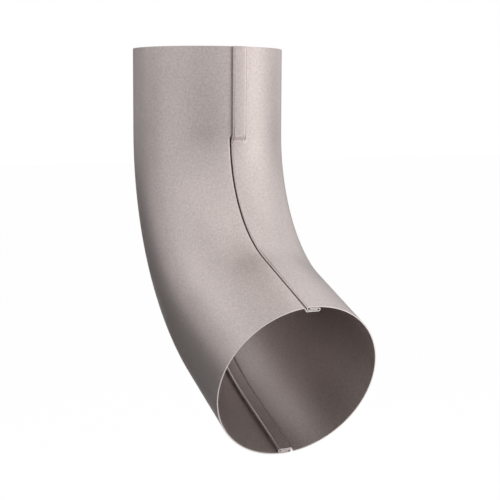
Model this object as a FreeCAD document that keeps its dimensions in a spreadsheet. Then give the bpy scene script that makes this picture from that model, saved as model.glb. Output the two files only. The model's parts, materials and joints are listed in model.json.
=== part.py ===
import FreeCAD, Part
import math
import os
import Sketcher
from collections import namedtuple

# Driving dimensions, in millimetres and degrees
SIZES = {
    "bore_radius": 43.5,
    "sheet": 0.6,
    "layer_gap": 0.2,
    "seam_width": 8.2,
    "corner_radius": 0.5,
    "step_angle": 60,
    "hem_relief": 1,
    "socket_length": 49,
    "change_angle": 4,
    "bend_radius": 111,
    "bend_angle": 70,
    "spigot_length": 51,
}

# Sizes of the lock seam, as expressions on the size sheet
PITCH = "(Sizes.sheet + Sizes.layer_gap)"
SEAM_DEPTH = f"(3 * {PITCH})"
CORNER = "(Sizes.corner_radius + Sizes.sheet / 2)"
SLOPE = "Sizes.step_angle * 1 deg"
CORNER_DROP = f"({CORNER} * (1 - cos({SLOPE})))"
STEP_RUN = f"(({SEAM_DEPTH} - 2 * {CORNER_DROP}) / tan({SLOPE}) + 2 * {CORNER} * sin({SLOPE}))"
STEP_TO_HEM = f"({PITCH} * (2 - cos({SLOPE}) / 2) / sin({SLOPE}))"

# Distances from the bend plane to the seam's bends, cut edges and steps
OUTER_HEM = f"(Sizes.seam_width / 2 - {STEP_TO_HEM})"
INNER_HEM = f"(Sizes.seam_width / 2 - {PITCH} - Sizes.sheet / 2)"
OUTER_EDGE = f"({INNER_HEM} + {PITCH} - Sizes.sheet / 2 - Sizes.hem_relief)"
INNER_EDGE = f"({OUTER_HEM} + {PITCH} - Sizes.sheet / 2 - Sizes.hem_relief)"
RAISED_STEP = f"({INNER_HEM} + {STEP_TO_HEM})"
SUNK_STEP = "(Sizes.seam_width / 2)"

# Places along a step's run where the outline changes curve, in sixths of the run from its middle
SIXTHS = (-3, -1, 1, 3)

# The throat lies on the inside of the bend and the heel on the outside
THROAT, HEEL = 1, -1

# The two faces of the sheet, and the two ways that an outline can turn
OUTSIDE, INSIDE = 1, -1
LEFT, RIGHT = 1, -1

# Numbers that a sketch gives to a curve's points, to its own origin and to its X axis
START, END, CENTRE = range(1, 4)
ORIGIN = (-1, START)
LEVEL_AXIS = -1

# A curve of the outline: its number in the sketch, and its two ends as point numbers and as places
Piece = namedtuple("Piece", "number first last first_spot last_spot")


def along(direction, length):
    return FreeCAD.Vector(direction).normalize() * length


class Section:
    """A half-shell's cut across the tube, drawn with the sketch's X axis towards the throat.

    At the throat the sheet is folded back under itself as the seam's outer hem. It runs round the
    tube, and at the heel it ends in the inner hem. One of its two ends lies flush with the wall, and
    the other steps over by the depth of the seam: the outer hem's where the seam is raised outside
    the tube, and the inner hem's where it is sunk inside. The other half is the same section after
    half a turn about the tube's axis.
    """

    def __init__(self, sketch, sizes, turned, raised):
        self.sketch = sketch
        self.sizes = sizes
        self.way = -1 if turned else 1
        self.raised = raised

    def draw(self):
        outside = self.draw_face(OUTSIDE)
        inside = self.draw_face(INSIDE)
        for place, point, height in ((0, "first", OUTER_EDGE), (-1, "last", INNER_EDGE)):
            self.cut_edge(outside[place], inside[place], point, height)

    def draw_face(self, face):
        """One face of the sheet, from the outer hem's cut edge to the inner hem's."""
        outer_hem = self.layer(-2, -face)
        inner_hem = self.layer(-1, -face)
        top = self.layer(0, face)
        bottom = self.layer(-3, face)
        outer_bend = self.spot(self.layer(-1), f"-{OUTER_HEM}", THROAT)
        inner_bend = self.spot(self.layer(-2), f"-{INNER_HEM}", HEEL)
        throat = self.crossing(face, THROAT)
        heel = self.crossing(face, HEEL)
        pieces = [
            self.ring(self.spot(outer_hem, OUTER_EDGE, THROAT), self.level(outer_bend, outer_hem), RIGHT),
            self.fold(outer_bend, OUTER_HEM, outer_hem, top, LEFT),
            self.ring(self.level(outer_bend, top), throat[0].first_spot),
            *throat,
            self.ring(throat[-1].last_spot, heel[0].first_spot),
            *heel,
            self.ring(heel[-1].last_spot, self.level(inner_bend, bottom)),
            self.fold(inner_bend, INNER_HEM, bottom, inner_hem, RIGHT),
            self.ring(self.level(inner_bend, inner_hem), self.spot(inner_hem, INNER_EDGE, HEEL), RIGHT),
        ]
        self.bind_radius(pieces[0], outer_hem)
        self.bind_radius(pieces[6], self.wall(face))
        self.bind_radius(pieces[-1], inner_hem)
        self.bind_radius(pieces[2] if self.raised else pieces[10], top if self.raised else bottom)
        kinds = ["Tangent"] * 2 + self.joints(THROAT) + self.joints(HEEL) + ["Tangent"] * 2
        for kind, before, after in zip(kinds, pieces, pieces[1:]):
            self.rule(kind, before.number, before.last, after.number, after.first)
        return pieces

    def rule(self, *words):
        return self.sketch.addConstraint(Sketcher.Constraint(*words))

    def value(self, expression):
        return float(self.sizes.evalExpression(expression))

    def layer(self, level, face=0):
        """The radius of a layer's middle or face, with its level in pitches from the outer sheet."""
        lift = 3 if self.raised else 0
        return self.wall(face, level + lift)

    def wall(self, face=0, level=0):
        return f"(Sizes.bore_radius + Sizes.sheet / 2 + ({level}) * {PITCH} + ({face}) * Sizes.sheet / 2)"

    def spot(self, radius, height, end):
        """The point at a radius and at a height from the bend plane."""
        distance = self.value(radius)
        rise = self.value(height)
        return FreeCAD.Vector(end * math.sqrt(distance ** 2 - rise ** 2), rise, 0) * self.way

    def level(self, bend, radius):
        """The point on a layer that lies in line with a hem's bend, seen from the tube's axis."""
        return along(bend, self.value(radius))

    def arc(self, centre, first, last, turn):
        """An arc between two points, where a right turn is drawn backwards as a left one."""
        angles = [math.atan2(point.y - centre.y, point.x - centre.x) for point in (first, last)]
        circle = Part.Circle(centre, FreeCAD.Vector(0, 0, 1), centre.distanceToPoint(first))
        number = self.sketch.addGeometry(Part.ArcOfCircle(circle, *angles[::turn]), False)
        points = (START, END)[::turn]
        return Piece(number, *points, first, last)

    def line(self, first, last):
        number = self.sketch.addGeometry(Part.LineSegment(first, last), False)
        return Piece(number, START, END, first, last)

    def ring(self, first, last, turn=LEFT):
        """An arc about the tube's axis."""
        piece = self.arc(FreeCAD.Vector(), first, last, turn)
        self.rule("Coincident", piece.number, CENTRE, *ORIGIN)
        return piece

    def fold(self, bend, height, from_radius, to_radius, turn):
        """The half-circle where a hem turns back."""
        piece = self.arc(bend, self.level(bend, from_radius), self.level(bend, to_radius), turn)
        self.bind_height(piece.number, CENTRE, f"-{height}")
        return piece

    def steps_at(self, end):
        return self.raised == (end == THROAT)

    def joints(self, end):
        return ["Tangent" if self.steps_at(end) else "Coincident"] * 4

    def crossing(self, face, end):
        """The stretch beside a seam where the sheet steps over or runs on flush."""
        middle = RAISED_STEP if end == THROAT else SUNK_STEP
        heights = [f"({middle} + ({end * place}) * {STEP_RUN} / 6)" for place in SIXTHS]
        if self.steps_at(end):
            return self.step(face, heights, end)
        return self.flush(face, heights, end)

    def flush(self, face, heights, end):
        spots = [self.spot(self.wall(face), height, end) for height in heights]
        pieces = [self.ring(first, last) for first, last in zip(spots, spots[1:])]
        for piece, height in zip(pieces, heights):
            self.bind_height(piece.number, piece.first, height)
        self.bind_height(pieces[-1].number, pieces[-1].last, heights[-1])
        return pieces

    def step(self, face, heights, end):
        """An arc off the upper layer, a slanted line and an arc onto the lower layer."""
        upper_layer = self.layer(0) if end == THROAT else self.wall()
        lower_layer = self.wall() if end == THROAT else self.layer(-3)
        upper = self.spot(f"({upper_layer} - {CORNER})", heights[0], end)
        lower = self.spot(f"({lower_layer} + {CORNER})", heights[-1], end)
        upper_radius = f"({CORNER} + ({face}) * Sizes.sheet / 2)"
        lower_radius = f"({CORNER} - ({face}) * Sizes.sheet / 2)"
        upper_bend = self.value(upper_radius)
        lower_bend = self.value(lower_radius)
        span = lower - upper
        bearing = math.atan2(span.y, span.x) - math.acos((upper_bend + lower_bend) / span.Length)
        across_slant = FreeCAD.Vector(math.cos(bearing), math.sin(bearing), 0)
        slant = self.line(upper + across_slant * upper_bend, lower - across_slant * lower_bend)
        first = self.arc(upper, upper + along(upper, upper_bend), slant.first_spot, LEFT)
        last = self.arc(lower, slant.last_spot, lower - along(lower, lower_bend), RIGHT)
        self.bind_radius(first, upper_radius)
        self.bind_radius(last, lower_radius)
        self.bind_height(first.number, CENTRE, heights[0])
        self.bind_height(last.number, CENTRE, heights[-1])
        return [first, slant, last]

    def cut_edge(self, outside, inside, point, height):
        """The sheet's cut edge, parallel to the sketch's X axis."""
        edge = self.line(*(getattr(piece, f"{point}_spot") for piece in (outside, inside)))
        self.rule("Coincident", edge.number, START, outside.number, getattr(outside, point))
        self.rule("Coincident", edge.number, END, inside.number, getattr(inside, point))
        self.rule("Horizontal", edge.number)
        self.bind_height(edge.number, START, height)

    def bind(self, words, number, expression):
        """Add a measured rule, tied to an expression on the size sheet."""
        self.sketch.setExpression(f"Constraints[{self.rule(*words, number)}]", expression)

    def bind_radius(self, piece, expression):
        self.bind(("Radius", piece.number), self.value(expression), expression)

    def bind_height(self, number, point, expression):
        """Fix a point's distance from the bend plane."""
        height = self.value(expression)
        ends = (*ORIGIN, number, point) if height * self.way > 0 else (number, point, *ORIGIN)
        distance = expression if height > 0 else f"-{expression}"
        self.bind(("DistanceY", *ends), abs(height), distance)


def make_sizes(doc):
    sizes = doc.addObject("Spreadsheet::Sheet", "Sizes")
    for row, (name, number) in enumerate(SIZES.items(), start=1):
        sizes.set(f"A{row}", name)
        sizes.set(f"B{row}", str(number))
        sizes.setAlias(f"B{row}", name)
    doc.recompute()
    return sizes


def section_sketch(body, name, turned, raised, bend):
    """A section across the tube, past the socket and the given angle of the bend."""
    sketch = body.newObject("Sketcher::SketchObject", f"{body.Name}_{name}")
    planes = [plane for plane in body.Origin.OriginFeatures if plane.Role == "XY_Plane"]
    sketch.AttachmentSupport = [(planes[0], "")]
    sketch.MapMode = "FlatFace"
    across = f"Sizes.bend_radius * (1 - cos({bend})) * 1 mm"
    height = f"-(Sizes.socket_length + Sizes.bend_radius * sin({bend})) * 1 mm"
    tilt_axis = FreeCAD.Vector(0, -1, 0)
    sketch.AttachmentOffset = FreeCAD.Placement(FreeCAD.Vector(), FreeCAD.Rotation(tilt_axis, 1))
    sketch.setExpression("AttachmentOffset.Base.x", across)
    sketch.setExpression("AttachmentOffset.Base.z", height)
    sketch.setExpression("AttachmentOffset.Rotation.Angle", bend)
    Section(sketch, body.Document.Sizes, turned, raised).draw()
    return sketch


def add_bend_axis(sketch):
    """A construction line, as long as the bore is wide, along the axis that the bend turns about."""
    reach = sketch.Document.Sizes.bend_radius
    half = sketch.Document.Sizes.bore_radius
    ends = [FreeCAD.Vector(reach, side * half, 0) for side in (-1, 1)]
    line = sketch.addGeometry(Part.LineSegment(*ends), True)
    sketch.addConstraint(Sketcher.Constraint("Symmetric", line, START, line, END, LEVEL_AXIS))
    distance = sketch.addConstraint(Sketcher.Constraint("DistanceX", *ORIGIN, line, START, reach))
    sketch.setExpression(f"Constraints[{distance}]", "Sizes.bend_radius")
    length = sketch.addConstraint(Sketcher.Constraint("DistanceY", line, START, line, END, 2 * half))
    sketch.setExpression(f"Constraints[{length}]", "2 * Sizes.bore_radius")


def make_half(doc, label, turned):
    body = doc.addObject("PartDesign::Body", label)
    body.Label = label
    socket = section_sketch(body, "socket", turned, True, "0 deg")
    start = section_sketch(body, "bend", turned, False, "Sizes.change_angle * 1 deg")
    outlet = section_sketch(body, "outlet", turned, False, "Sizes.bend_angle * 1 deg")
    add_bend_axis(start)
    doc.recompute()

    wall = body.newObject("PartDesign::Pad", f"{label}_socket_wall")
    wall.Profile = socket
    wall.setExpression("Length", "Sizes.socket_length * 1 mm")

    change = body.newObject("PartDesign::AdditiveLoft", f"{label}_change_over")
    change.Profile = socket
    change.Sections = [start]
    change.Ruled = True

    bend = body.newObject("PartDesign::Revolution", f"{label}_bend")
    bend.Profile = start
    bend.ReferenceAxis = (start, ["Axis0"])
    bend.Reversed = True
    bend.setExpression("Angle", "(Sizes.bend_angle - Sizes.change_angle) * 1 deg")

    spigot = body.newObject("PartDesign::Pad", f"{label}_spigot_wall")
    spigot.Profile = outlet
    spigot.Reversed = True
    spigot.setExpression("Length", "Sizes.spigot_length * 1 mm")
    doc.recompute()
    body.Placement = FreeCAD.Placement()
    return body


def check(doc, halves):
    for item in doc.Objects:
        if "Invalid" in item.State or "Error" in item.State:
            raise RuntimeError(f"{item.Label} did not build")
    for half in halves:
        if half.Shape.isNull() or not half.Shape.isValid():
            raise RuntimeError(f"{half.Label} has no valid solid")


def main():
    doc = FreeCAD.newDocument("downspout_elbow")
    make_sizes(doc)
    halves = [
        make_half(doc, "left_half_shell", True),
        make_half(doc, "right_half_shell", False),
    ]
    doc.recompute()
    check(doc, halves)
    os.makedirs("parts", exist_ok=True)
    for half in halves:
        half.Shape.exportStep(f"parts/{half.Label}.step")
        print(half.Label, "volume", round(half.Shape.Volume, 1), "faces", len(half.Shape.Faces))


main()
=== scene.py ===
"""The visible half-shells of a sheet-steel downspout elbow, their coating and their studio."""

import json
import math

import bmesh
import bpy
from bpy.props import FloatProperty, FloatVectorProperty, PointerProperty
from bpy.types import Operator, Panel, PropertyGroup
from mathutils import Matrix, Vector


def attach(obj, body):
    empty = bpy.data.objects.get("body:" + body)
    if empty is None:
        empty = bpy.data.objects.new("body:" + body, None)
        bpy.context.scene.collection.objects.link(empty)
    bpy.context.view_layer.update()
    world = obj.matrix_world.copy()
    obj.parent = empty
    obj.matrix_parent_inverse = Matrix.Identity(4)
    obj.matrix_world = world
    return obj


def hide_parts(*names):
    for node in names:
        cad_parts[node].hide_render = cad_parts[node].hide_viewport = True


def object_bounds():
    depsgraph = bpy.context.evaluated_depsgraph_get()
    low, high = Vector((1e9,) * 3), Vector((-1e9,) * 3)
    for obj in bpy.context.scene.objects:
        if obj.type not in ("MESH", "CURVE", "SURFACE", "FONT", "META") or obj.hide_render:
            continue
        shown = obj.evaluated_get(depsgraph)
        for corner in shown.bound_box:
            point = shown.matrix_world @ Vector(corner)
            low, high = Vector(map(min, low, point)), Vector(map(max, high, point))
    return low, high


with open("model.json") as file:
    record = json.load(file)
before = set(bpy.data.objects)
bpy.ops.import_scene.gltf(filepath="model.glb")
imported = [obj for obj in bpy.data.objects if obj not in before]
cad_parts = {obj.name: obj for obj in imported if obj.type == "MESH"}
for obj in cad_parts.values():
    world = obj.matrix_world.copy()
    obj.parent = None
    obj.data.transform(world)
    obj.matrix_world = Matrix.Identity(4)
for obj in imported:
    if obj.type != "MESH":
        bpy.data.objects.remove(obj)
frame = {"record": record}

bl_info = {
    "name": "Downspout Elbow",
    "version": (1, 0, 0),
    "blender": (4, 5, 0),
    "location": "3D View > Sidebar > Elbow",
    "description": "Dresses a folded sheet-steel downspout elbow and sets up its studio",
    "category": "Object",
}

MM = 0.001
CAD_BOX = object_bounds()

MOUNTS = {mount["name"]: mount for mount in frame["record"]["mounts"]}
COATING = next(m for m in frame["record"]["materials"] if m["slot"] == "coated_steel")
BORE = MOUNTS["inlet_socket"]["dims"]["r_mm"] * MM
SPIGOT_RADIUS = MOUNTS["outlet_spigot"]["dims"]["r_mm"] * MM
SOCKET_LENGTH = MOUNTS["inlet_socket"]["dims"]["length_mm"] * MM
SPIGOT_LENGTH = MOUNTS["outlet_spigot"]["dims"]["length_mm"] * MM
OUTLET = Vector(MOUNTS["outlet_spigot"]["pos_m"])
OUTLET_AXIS = Vector(MOUNTS["outlet_spigot"]["axis"])
BEND_ANGLE = math.atan2(OUTLET_AXIS.x, -OUTLET_AXIS.z)
BEND_RADIUS = (OUTLET.x - SPIGOT_LENGTH * math.sin(BEND_ANGLE)) / (1 - math.cos(BEND_ANGLE))

# A seam stacks four layers of sheet, so its innermost one lies three pitches under its outermost.
LAYERS_DOWN = 3

# Places on the worn quarter round of a cut edge, in degrees from its tip.
EDGE_TURNS = (0, 30, 60, 90)
EDGE_STEPS = len(EDGE_TURNS) - 1

# Faces across the section: round a hem, round each corner of a step, along a layer inside a
# seam, and along the wall from the throat to the heel.
HEM_STEPS = 16
CORNER_STEPS = 6
LAYER_STEPS = 10
WALL_STEPS = 96

# Faces along the tube: down each straight end, through the change-over and round the bend.
STRAIGHT_STEPS = 12
CHANGE_STEPS = 12
BEND_STEPS = 84

# Extra sections this far from each rim keep the shading of the worn edge off the wall.
RIM_SECTIONS = (0.4 * MM, 2 * MM)

# Two points of a section that are closer than this are one.
SAME_POINT = 1e-7

# Order of the materials on a half-shell.
COATED, SHEARED, BURNISHED = range(3)


def length(name, description, default):
    return FloatProperty(name=name, description=description, default=default, unit="LENGTH",
                         subtype="DISTANCE", precision=5, min=0.0)


def angle(name, description, degrees):
    return FloatProperty(name=name, description=description, default=math.radians(degrees),
                         unit="ROTATION", subtype="ANGLE")


def share(name, description, default):
    return FloatProperty(name=name, description=description, default=default, min=0.0, max=1.0,
                         subtype="FACTOR")


def colour(name, description, default):
    return FloatVectorProperty(name=name, description=description, default=default, size=3,
                               subtype="COLOR_GAMMA", min=0.0, max=1.0)


class ElbowSizes(PropertyGroup):
    bore_radius: length("Bore radius", "Radius inside the tube", BORE)
    sheet: length("Sheet", "Thickness of the steel", SPIGOT_RADIUS - BORE)
    socket_length: length("Socket length", "Straight end that a pipe slides into", SOCKET_LENGTH)
    spigot_length: length("Spigot length", "Straight end at the outlet", SPIGOT_LENGTH)
    bend_radius: length("Bend radius", "Radius of the tube's axis in the bend", BEND_RADIUS)
    bend_angle: angle("Bend angle", "Turn from inlet to outlet", math.degrees(BEND_ANGLE))
    change_angle: angle("Change angle", "Stretch of bend where the seam goes from outside to in", 4)
    seam_width: length("Seam width", "Width of the flat strip of a raised seam", 8.2 * MM)
    layer_gap: length("Layer gap", "Air left between two folded layers", 0.2 * MM)
    corner_radius: length("Corner radius", "Inside radius where the sheet steps", 0.5 * MM)
    step_angle: angle("Step angle", "Slope of the step beside a seam", 60)
    hem_relief: length("Hem relief", "How far a tucked edge stays from its fold", 1 * MM)
    edge_round: length("Edge round", "Radius worn on the cut edge", 0.1 * MM)


class ElbowFinish(PropertyGroup):
    coat: colour("Coating", "Colour of the coated steel", COATING["base_color"])
    coat_metallic: share("Metallic", "How metallic the coating looks", 0.8)
    coat_roughness: share("Roughness", "Roughness of the coating", 0.4)
    bend_roughness: share("Bend roughness", "Roughness where the press burnished a tight bend", 0.2)
    grain_size: length("Grain", "Width of one grain of the coating", 0.5 * MM)
    grain_depth: length("Grain depth", "Height of the grain", 0.018 * MM)
    grain_contrast: share("Grain contrast", "How far the grain changes the colour", 0.2)
    cut_edge: colour("Cut edge", "Colour of the bare sheared steel", (0.75, 0.72, 0.71))


class ElbowStudio(PropertyGroup):
    camera_place: FloatVectorProperty(
        name="Camera", description="Where the camera stands", size=3, unit="LENGTH",
        subtype="TRANSLATION", default=(0.5662, -0.2325, -0.0293))
    camera_heading: angle("Heading", "Direction of the view, turned from +X", 155.275)
    camera_pitch: angle("Pitch", "Tilt of the view above level", -5.086)
    camera_roll: angle("Roll", "Turn of the camera about its view", 0.279)
    focal_length: FloatProperty(name="Lens", description="Focal length in millimetres",
                                default=73.457, min=10.0)
    lens_shift: FloatProperty(
        name="Shift", default=-0.12,
        description="How far the picture's middle lies above the lens's axis, in picture widths")
    floor_drop: length("Floor drop", "Space between the elbow and the floor", 0.25)
    floor_size: length("Floor size", "Width of the floor", 12.0)
    floor_white: share("Floor white", "Share of the floor that shows as plain white", 0.92)
    sky_light: share("Room light", "Light that comes from all round", 0.9)
    lamp_light: FloatProperty(name="Lamp light", description="Strength of all the lamps",
                              default=0.92, min=0.0)


def polar(radius, bearing):
    return Vector((math.cos(bearing), math.sin(bearing))) * radius


def spread(start, end, steps):
    return [start + (end - start) * k / steps for k in range(steps + 1)]


def rounding(radius):
    """Places on a worn edge, as the distance from its tip and what it takes off each face."""
    for turn in EDGE_TURNS:
        turned = math.radians(turn)
        yield radius * (1 - math.cos(turned)), radius * (1 - math.sin(turned))


class HalfSection:
    """The right half-shell cut across the tube, as points down the middle of its sheet.

    X runs from the tube's axis to the throat and Y to the right. The points run from the
    edge tucked into the throat seam, round the right side, to the edge in the heel seam.
    Each is kept with the direction of its outer face and what its end takes off the sheet.
    The faces that are bent tightly are kept too, by the point that each one starts from: those
    of the hems, and those of the steps beside the throat's seam (False) and the heel's (True).
    """

    def __init__(self, sizes, raised):
        self.half = sizes.sheet / 2
        self.wall = sizes.bore_radius + self.half
        self.pitch = sizes.sheet + sizes.layer_gap
        self.corner = sizes.corner_radius + self.half
        self.drop = LAYERS_DOWN * self.pitch
        self.lift = self.drop if raised else 0.0
        self.edge_round = sizes.edge_round
        slope = sizes.step_angle
        step_to_hem = self.pitch * (2 - math.cos(slope) / 2) / math.sin(slope)
        self.step_run = ((self.drop - 2 * self.corner * (1 - math.cos(slope))) / math.tan(slope)
                         + 2 * self.corner * math.sin(slope))
        self.outer_hem = sizes.seam_width / 2 - step_to_hem
        self.inner_hem = sizes.seam_width / 2 - self.pitch - self.half
        self.outer_edge = self.inner_hem + self.pitch - self.half - sizes.hem_relief
        self.inner_edge = self.outer_hem + self.pitch - self.half - sizes.hem_relief
        self.raised_step = self.inner_hem + step_to_hem
        self.sunk_step = sizes.seam_width / 2
        self.points = []
        self.hems = []
        self.steps = {}
        self.trace()

    def layer(self, level):
        """Radius of one of the seam's layers, from 0 for the outermost down to -3."""
        return self.wall + self.lift + level * self.pitch

    def bearing(self, radius, y, heel=False):
        turned = math.asin(y / radius)
        return math.pi - turned if heel else turned

    def add(self, point, face, taper=0.0):
        if not self.points or (self.points[-1][0] - point).length > SAME_POINT:
            self.points.append((point, face, taper))

    def next_faces(self, count):
        """The faces between the last point so far and the points that come next."""
        return range(len(self.points) - 1, len(self.points) - 1 + count)

    def arc(self, centre, radius, start, end, steps):
        side = 1 if end > start else -1
        for turned in spread(start, end, steps):
            outward = polar(1, turned)
            self.add(centre + outward * radius, outward * side)

    def level_run(self, radius, start, end, steps):
        self.arc(Vector((0, 0)), radius, start, end, steps)

    def hem(self, centre, start, end):
        self.hems += self.next_faces(HEM_STEPS)
        self.arc(centre, self.pitch, start, end, HEM_STEPS)

    def cut_edge(self, radius, edge, side):
        """The rounded end of the sheet from its tip inwards, which lies to that side of it."""
        for back, taper in rounding(self.edge_round):
            outward = polar(1, edge + side * back / radius)
            yield outward * radius, -outward, taper

    def crossing(self, start, radius, middle, heel):
        """Runs level from start to the step beside a seam, down it, and says where it ends.

        The step leads inwards by the depth of the seam. Where the sheet has no step here, the
        same points lie level, so that the two shapes of the seam change into each other.
        """
        foot = self.wall - (self.drop if heel else 0)
        top = foot + self.drop
        reach = -self.step_run / 2 if heel else self.step_run / 2
        first = self.bearing(top - self.corner, middle - reach, heel)
        last = self.bearing(foot + self.corner, middle + reach, heel)
        self.level_run(radius, start, first, WALL_STEPS if heel else LAYER_STEPS)
        high, low = polar(top - self.corner, first), polar(foot + self.corner, last)
        span = low - high
        across_slant = math.atan2(span.y, span.x) - math.acos(2 * self.corner / span.length)
        across_slant += math.tau if across_slant < first else 0
        upper = [polar(1, turned) for turned in spread(first, across_slant, CORNER_STEPS)]
        lower = [polar(1, turned) for turned in spread(across_slant, last, CORNER_STEPS)]
        stepped = ([(high + outward * self.corner, outward) for outward in upper]
                   + [(low - outward * self.corner, outward) for outward in lower])
        self.steps[heel] = self.next_faces(len(stepped) - 1)
        level = self.lift > 0 if heel else self.lift == 0
        for point, face in stepped:
            if level:
                face = point.normalized()
                point = face * self.wall
            self.add(point, face)
        return last

    def trace(self):
        tucked, hem = self.layer(-2), self.bearing(self.layer(-1), -self.outer_hem)
        edge = self.bearing(tucked, self.outer_edge)
        for point, face, taper in self.cut_edge(tucked, edge, -1):
            self.add(point, face, taper)
        self.level_run(tucked, edge - self.edge_round / tucked, hem, LAYER_STEPS)
        self.hem(polar(self.layer(-1), hem), hem - math.pi, hem)
        turned = self.crossing(hem, self.layer(0), self.raised_step, heel=False)
        turned = self.crossing(turned, self.wall, self.sunk_step, heel=True)
        hem = self.bearing(self.layer(-2), -self.inner_hem, heel=True)
        self.level_run(self.layer(-LAYERS_DOWN), turned, hem, LAYER_STEPS)
        self.hem(polar(self.layer(-2), hem), hem + math.pi, hem)
        tucked = self.layer(-1)
        edge = self.bearing(tucked, self.inner_edge, heel=True)
        self.level_run(tucked, hem, edge + self.edge_round / tucked, LAYER_STEPS)
        for point, face, taper in reversed(list(self.cut_edge(tucked, edge, 1))):
            self.add(point, face, taper)


class TubePath:
    """The tube's axis from the inlet's mouth, with the direction to the throat at each place."""

    def __init__(self, sizes):
        self.socket = sizes.socket_length
        self.radius = sizes.bend_radius
        self.bend = self.radius * sizes.bend_angle
        self.total = self.socket + self.bend + sizes.spigot_length
        self.change = self.radius * sizes.change_angle
        self.edge_round = sizes.edge_round

    def place(self, distance):
        """Where a section stands on the axis, and its direction to the throat."""
        turned = min(max(distance - self.socket, 0.0), self.bend) / self.radius
        throat = Vector((math.cos(turned), 0, math.sin(turned)))
        along = Vector((math.sin(turned), 0, -math.cos(turned)))
        centre = Vector((self.radius, 0, -self.socket)) - throat * self.radius
        straight = min(distance, self.socket) - self.socket + max(
            0.0, distance - self.socket - self.bend)
        return centre + along * straight, throat

    def raised(self, distance):
        """How far the seam is still outside: 1 on the socket, 0 past the change-over."""
        changed = min(max((distance - self.socket) / self.change, 0.0), 1.0)
        return 1 - changed * changed * (3 - 2 * changed)

    def stations(self):
        """Distances along the axis, each with what the rounded end takes off the sheet there."""
        rounded = list(rounding(self.edge_round))
        changed, bent = self.socket + self.change, self.socket + self.bend
        near, far = RIM_SECTIONS
        inner = [near]
        inner += spread(far, self.socket, STRAIGHT_STEPS)
        inner += spread(self.socket, changed, CHANGE_STEPS)[1:]
        inner += spread(changed, bent, BEND_STEPS)[1:]
        inner += spread(bent, self.total - far, STRAIGHT_STEPS)[1:]
        inner += [self.total - near]
        ends = [(self.total - back, taper) for back, taper in reversed(rounded)]
        return rounded + [(distance, 0.0) for distance in inner] + ends


def new_object(name, mesh, materials):
    """Turns a mesh under construction into an object in the scene."""
    data = bpy.data.meshes.new(name)
    mesh.to_mesh(data)
    mesh.free()
    for material in materials:
        data.materials.append(material)
    item = bpy.data.objects.new(name, data)
    bpy.context.scene.collection.objects.link(item)
    return item


def section_pairs(path, outside, inside, distance, worn, side):
    """One section of a half, as pairs of places on the sheet's outer and inner face."""
    origin, throat = path.place(distance)
    raised = path.raised(distance)
    for (point_a, face_a, taper), (point_b, face_b, _) in zip(outside.points, inside.points):
        point = point_b.lerp(point_a, raised) * side
        face = face_b.lerp(face_a, raised).normalized() * side
        thick = outside.half - taper - worn
        yield [origin + throat * spot.x + Vector((0, spot.y, 0))
               for spot in (point + face * thick, point - face * thick)]


def skin(mesh, rings, path, section):
    """Closes the sheet between its sections and gives each face its finish."""
    distances = [distance for distance, _ in path.stations()]
    tips = {k for k, (_, _, taper) in enumerate(section.points) if taper > 0}
    last_gap, last_point = len(rings) - 2, len(section.points) - 1
    for j, (ring, following) in enumerate(zip(rings, rings[1:])):
        worn = j < EDGE_STEPS or j > last_gap - EDGE_STEPS
        tight = set(section.hems)
        if path.raised(distances[j]) > 0:
            tight.update(section.steps[False])
        if path.raised(distances[j + 1]) < 1:
            tight.update(section.steps[True])
        for k in range(last_point):
            cut = worn or k in tips or k + 1 in tips
            finish = SHEARED if cut else BURNISHED if k in tight else COATED
            for face in (0, 1):
                quad = (ring[k][face], ring[k + 1][face],
                        following[k + 1][face], following[k][face])
                mesh.faces.new(quad).material_index = finish
        for k in (0, last_point):
            quad = (ring[k][0], ring[k][1], following[k][1], following[k][0])
            mesh.faces.new(quad).material_index = SHEARED
    for ring in (rings[0], rings[-1]):
        for pair, other in zip(ring, ring[1:]):
            mesh.faces.new((pair[0], pair[1], other[1], other[0])).material_index = SHEARED


def half_shell(name, sizes, turned, materials):
    """One pressed half, swept down the tube; the left half is the right one turned half round."""
    outside, inside = HalfSection(sizes, raised=True), HalfSection(sizes, raised=False)
    path = TubePath(sizes)
    side = -1 if turned else 1
    mesh = bmesh.new()
    rings = [[[mesh.verts.new(spot) for spot in pair]
              for pair in section_pairs(path, outside, inside, distance, worn, side)]
             for distance, worn in path.stations()]
    skin(mesh, rings, path, outside)
    bmesh.ops.recalc_face_normals(mesh, faces=mesh.faces)
    for face in mesh.faces:
        face.smooth = True
    return new_object(name, mesh, materials)


class NodeValue:
    """A node's output that can be used in sums."""

    def __init__(self, graph, output):
        self.graph = graph
        self.output = output

    def maths(self, operation, other):
        return self.graph.node("ShaderNodeMath", {"operation": operation}, {0: self, 1: other})

    def __add__(self, other):
        return self.maths("ADD", other)

    def __mul__(self, other):
        return self.maths("MULTIPLY", other)

    __radd__ = __add__
    __rmul__ = __mul__


class Graph:
    """The nodes of one material or of the world."""

    def __init__(self, owner):
        owner.use_nodes = True
        self.tree = owner.node_tree
        self.tree.nodes.clear()

    def node(self, kind, settings=None, inputs=None, output=0):
        made = self.tree.nodes.new(kind)
        for name, value in (settings or {}).items():
            setattr(made, name, value)
        for key, value in (inputs or {}).items():
            if isinstance(value, NodeValue):
                self.tree.links.new(value.output, made.inputs[key])
            else:
                made.inputs[key].default_value = value
        return NodeValue(self, made.outputs[output])

    def mix(self, factor, low, high):
        return self.node("ShaderNodeMix", {"data_type": "RGBA"}, {0: factor, 6: low, 7: high}, 2)

    def noise(self, scale, detail, roughness):
        place = self.node("ShaderNodeTexCoord", output="Object")
        return self.node("ShaderNodeTexNoise", inputs={
            "Vector": place, "Scale": scale, "Detail": detail, "Roughness": roughness})

    def finish(self, shader, kind="ShaderNodeOutputMaterial"):
        made = self.tree.nodes.new(kind)
        self.tree.links.new(shader.output, made.inputs["Surface"])


def linear(channel):
    """A colour channel as it is seen, turned into the light that it stands for."""
    return channel / 12.92 if channel <= 0.04045 else ((channel + 0.055) / 1.055) ** 2.4


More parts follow.
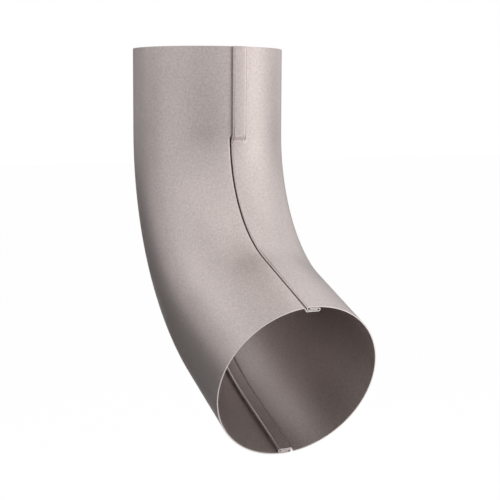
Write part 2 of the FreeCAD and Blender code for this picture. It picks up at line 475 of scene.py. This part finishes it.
def light_of(seen, tone=1.0):
    """A seen colour, made lighter or darker by the tone, as the light that a shader takes."""
    return (*(linear(min(1.0, channel * tone)) for channel in seen), 1.0)


# The coating: how wide its clouding is, as a noise scale, how much of its tone is grain and not
# clouding, and how far the grain moves its roughness.
CLOUD_SCALE = 28.0
GRAIN_SHARE = 0.8
GRAIN_ROUGHNESS = 0.12

# The bare cut edge: its metal, how fine its streaks are, as a noise scale, how dark they get, and
# its least roughness with what the streaks add.
EDGE_METALLIC = 0.9
STREAK_SCALE = 900.0
STREAK_TONE = 0.93
EDGE_ROUGHNESS = 0.3
STREAK_ROUGHNESS = 0.2


def coated_steel(name, finish, roughness):
    """The satin coating: metal grey, with the fine grain and faint clouding of sprayed metallic."""
    material = bpy.data.materials.new(name)
    graph = Graph(material)
    grain = graph.noise(0.5 / finish.grain_size, 2.0, 0.6)
    cloud = graph.noise(CLOUD_SCALE, 3.0, 0.5)
    shade = graph.mix(grain * GRAIN_SHARE + cloud * (1 - GRAIN_SHARE),
                      light_of(finish.coat, 1 - finish.grain_contrast),
                      light_of(finish.coat, 1 + finish.grain_contrast))
    bump = graph.node("ShaderNodeBump", inputs={
        "Strength": 1.0, "Distance": finish.grain_depth, "Height": grain})
    graph.finish(graph.node("ShaderNodeBsdfPrincipled", inputs={
        "Base Color": shade, "Metallic": finish.coat_metallic, "Normal": bump,
        "Roughness": grain * GRAIN_ROUGHNESS + (roughness - GRAIN_ROUGHNESS / 2)}))
    return material


def sheared_steel(finish):
    """The bare cut edge of the sheet, brighter than the coating and faintly streaked."""
    material = bpy.data.materials.new("sheared_edge")
    graph = Graph(material)
    streak = graph.noise(STREAK_SCALE, 2.0, 0.6)
    shade = graph.mix(streak, light_of(finish.cut_edge, STREAK_TONE), light_of(finish.cut_edge))
    graph.finish(graph.node("ShaderNodeBsdfPrincipled", inputs={
        "Base Color": shade, "Metallic": EDGE_METALLIC,
        "Roughness": streak * STREAK_ROUGHNESS + EDGE_ROUGHNESS}))
    return material


class ELBOW_OT_half_shells(Operator):
    """Make the two folded half-shells from the record's sizes"""

    bl_idname = "elbow.half_shells"
    bl_label = "Half-shells"

    def execute(self, context):
        sizes, finish = context.scene.elbow_sizes, context.scene.elbow_finish
        materials = [coated_steel("coated_steel", finish, finish.coat_roughness),
                     sheared_steel(finish),
                     coated_steel("burnished_bend", finish, finish.bend_roughness)]
        for name, node, turned in (("right_half", "right_half_shell", False),
                                   ("left_half", "left_half_shell", True)):
            shell = half_shell(name, sizes, turned, materials)
            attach(shell, "root")
            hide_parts(node)
        return {"FINISHED"}


# Softboxes that face the elbow: name, bearing from -Y towards +X and height above level in
# degrees, then distance, width and tallness in metres, and power in watts.
SOFTBOXES = (
    ("back_left_softbox", 318, 32, 0.9, 0.7, 0.45, 0.36),
    ("left_softbox", 358, 32, 0.9, 0.7, 0.45, 0.18),
    ("front_left_softbox", 38, 32, 0.9, 0.7, 0.45, 0.22),
    ("front_right_softbox", 118, 32, 0.9, 0.7, 0.45, 0.38),
    ("right_softbox", 158, 32, 0.9, 0.7, 0.45, 0.53),
    ("back_right_softbox", 198, 32, 0.9, 0.7, 0.45, 0.16),
    ("high_front_softbox", 68, 60, 0.9, 0.9, 0.6, 0.46),
    ("high_right_softbox", 188, 60, 0.9, 0.9, 0.6, 0.69),
    ("top_softbox", 68, 88, 0.9, 0.9, 0.9, 0.61),
    ("low_front_softbox", 130, 3, 0.9, 0.3, 0.5, 0.48),
    ("low_right_softbox", 148, 3, 0.9, 0.3, 0.5, 0.58),
    ("far_right_softbox", 166, 3, 0.9, 0.3, 0.5, 0.22),
    ("floor_softbox", 130, -36, 0.5, 0.35, 0.2, 0.35),
)

# Dark cards that the steel reflects as its shaded sides: laid out in the same way, with how
# light each one is instead of a power.
DARK_CARDS = (
    ("card_back", 248, 0, 1.3, 1.1, 0.8, 0.0),
    ("card_back_left", 276, 10, 0.95, 0.25, 0.36, 0.2),
    ("card_left", 301, -11, 0.95, 1.0, 0.34, 0.0),
    ("card_low_left", 296, -34, 0.45, 0.48, 0.19, 0.0),
    ("card_high_left", 301, 10, 0.95, 0.5, 0.36, 0.45),
    ("card_front_left", 338, 0, 0.95, 0.25, 0.7, 0.6),
    ("card_front", 64, -8, 0.6, 0.55, 0.22, 0.2),
    ("card_right", 200, -8, 0.6, 0.4, 0.2, 0.1),
    ("card_low_front_left", 326, -12, 0.6, 0.35, 0.22, 0.0),
)

WHITE = (1.0, 1.0, 1.0, 1.0)
PALE = (0.95, 0.95, 0.95, 1.0)

# The camera's sensor is this wide in millimetres, and it sees from the first of these distances
# to the second.
SENSOR_WIDTH = 36.0
SIGHT = (0.01, 50.0)


class ELBOW_OT_studio(Operator):
    """Set up the floor, the white surroundings, the softboxes, the dark cards and the camera"""

    bl_idname = "elbow.studio"
    bl_label = "Studio"

    def execute(self, context):
        studio = context.scene.elbow_studio
        low, high = CAD_BOX
        self.middle = (low + high) / 2
        self.floor(studio, low.z - studio.floor_drop)
        self.surroundings(context, studio)
        for softbox in SOFTBOXES:
            self.softbox(context, studio, *softbox)
        for card in DARK_CARDS:
            self.card(*card)
        self.camera(context, studio)
        context.scene.view_settings.view_transform = "Standard"
        return {"FINISHED"}

    def seen_directly(self, graph):
        """1 on rays from the camera, off gloss and through glass, so that all of them see white."""
        camera, glossy, glass = (
            graph.node("ShaderNodeLightPath", output=name)
            for name in ("Is Camera Ray", "Is Glossy Ray", "Is Transmission Ray"))
        return graph.node("ShaderNodeClamp", inputs={0: camera + glossy + glass})

    def board(self, name, width, tall, material):
        mesh = bmesh.new()
        bmesh.ops.create_grid(mesh, x_segments=1, y_segments=1, size=0.5,
                              matrix=Matrix.Diagonal((width, tall, 1, 1)))
        return new_object(name, mesh, [material])

    def floor(self, studio, height):
        material = bpy.data.materials.new("pale_floor")
        graph = Graph(material)
        pale = graph.node("ShaderNodeBsdfDiffuse", inputs={"Color": PALE})
        white = graph.node("ShaderNodeEmission", inputs={"Color": WHITE, "Strength": 1.0})
        factor = studio.floor_white * self.seen_directly(graph)
        graph.finish(graph.node("ShaderNodeMixShader", inputs={0: factor, 1: pale, 2: white}))
        floor = self.board("floor", studio.floor_size, studio.floor_size, material)
        floor.location = (self.middle.x, self.middle.y, height)

    def surroundings(self, context, studio):
        world = bpy.data.worlds.new("white_room")
        context.scene.world = world
        graph = Graph(world)
        dim = studio.sky_light
        strength = dim + (1 - dim) * self.seen_directly(graph)
        sky = graph.node("ShaderNodeBackground", inputs={"Color": WHITE, "Strength": strength})
        graph.finish(sky, "ShaderNodeOutputWorld")

    def stand(self, item, bearing, height, distance):
        """Puts a lamp or a card on its stand, facing the elbow."""
        turned, raised = math.radians(bearing), math.radians(height)
        out = Vector((math.sin(turned) * math.cos(raised), -math.cos(turned) * math.cos(raised),
                      math.sin(raised)))
        item.location = self.middle + out * distance
        item.rotation_euler = out.to_track_quat("Z", "Y").to_euler()

    def softbox(self, context, studio, name, bearing, height, distance, width, tall, power):
        lamp = bpy.data.lights.new(name, "AREA")
        lamp.shape = "RECTANGLE"
        lamp.size, lamp.size_y = width, tall
        lamp.energy = power * studio.lamp_light
        box = bpy.data.objects.new(name, lamp)
        self.stand(box, bearing, height, distance)
        context.scene.collection.objects.link(box)

    def card(self, name, bearing, height, distance, width, tall, shade):
        """A card that only the steel's gloss sees, and that casts no shadow."""
        material = bpy.data.materials.new(name)
        graph = Graph(material)
        graph.finish(graph.node("ShaderNodeEmission", inputs={"Color": WHITE, "Strength": shade}))
        material.cycles.emission_sampling = "NONE"
        card = self.board(name, width, tall, material)
        self.stand(card, bearing, height, distance)
        card.visible_camera = False
        card.visible_diffuse = False
        card.visible_shadow = False

    def camera(self, context, studio):
        camera = bpy.data.cameras.new("camera")
        camera.sensor_width = SENSOR_WIDTH
        camera.lens = studio.focal_length
        camera.shift_y = studio.lens_shift
        camera.clip_start, camera.clip_end = SIGHT
        heading, pitch, roll = studio.camera_heading, studio.camera_pitch, studio.camera_roll
        forward = Vector((math.cos(pitch) * math.cos(heading), math.cos(pitch) * math.sin(heading),
                          math.sin(pitch)))
        level = forward.cross(Vector((0, 0, 1))).normalized()
        upright = level.cross(forward)
        right = level * math.cos(roll) + upright * math.sin(roll)
        up = upright * math.cos(roll) - level * math.sin(roll)
        turn = Matrix((right, up, -forward)).transposed().to_4x4()
        eye = bpy.data.objects.new("camera", camera)
        eye.matrix_world = Matrix.Translation(Vector(studio.camera_place)) @ turn
        context.scene.collection.objects.link(eye)
        context.scene.camera = eye


class ELBOW_PT_panel(Panel):
    bl_idname = "ELBOW_PT_panel"
    bl_label = "Downspout Elbow"
    bl_space_type = "VIEW_3D"
    bl_region_type = "UI"
    bl_category = "Elbow"

    def draw(self, context):
        for group in ("elbow_sizes", "elbow_finish", "elbow_studio"):
            box = self.layout.box()
            settings = getattr(context.scene, group)
            for name in settings.bl_rna.properties.keys():
                if name not in ("rna_type", "name"):
                    box.prop(settings, name)
        for step in STEPS:
            self.layout.operator(step)


CLASSES = (ElbowSizes, ElbowFinish, ElbowStudio, ELBOW_OT_half_shells, ELBOW_OT_studio,
           ELBOW_PT_panel)
STEPS = ("elbow.half_shells", "elbow.studio")


def register():
    for kind in CLASSES:
        bpy.utils.register_class(kind)
    bpy.types.Scene.elbow_sizes = PointerProperty(type=ElbowSizes)
    bpy.types.Scene.elbow_finish = PointerProperty(type=ElbowFinish)
    bpy.types.Scene.elbow_studio = PointerProperty(type=ElbowStudio)


def unregister():
    del bpy.types.Scene.elbow_studio
    del bpy.types.Scene.elbow_finish
    del bpy.types.Scene.elbow_sizes
    for kind in reversed(CLASSES):
        bpy.utils.unregister_class(kind)


def main():
    register()
    bpy.ops.elbow.half_shells()
    bpy.ops.elbow.studio()


if __name__ == "__main__":
    main()
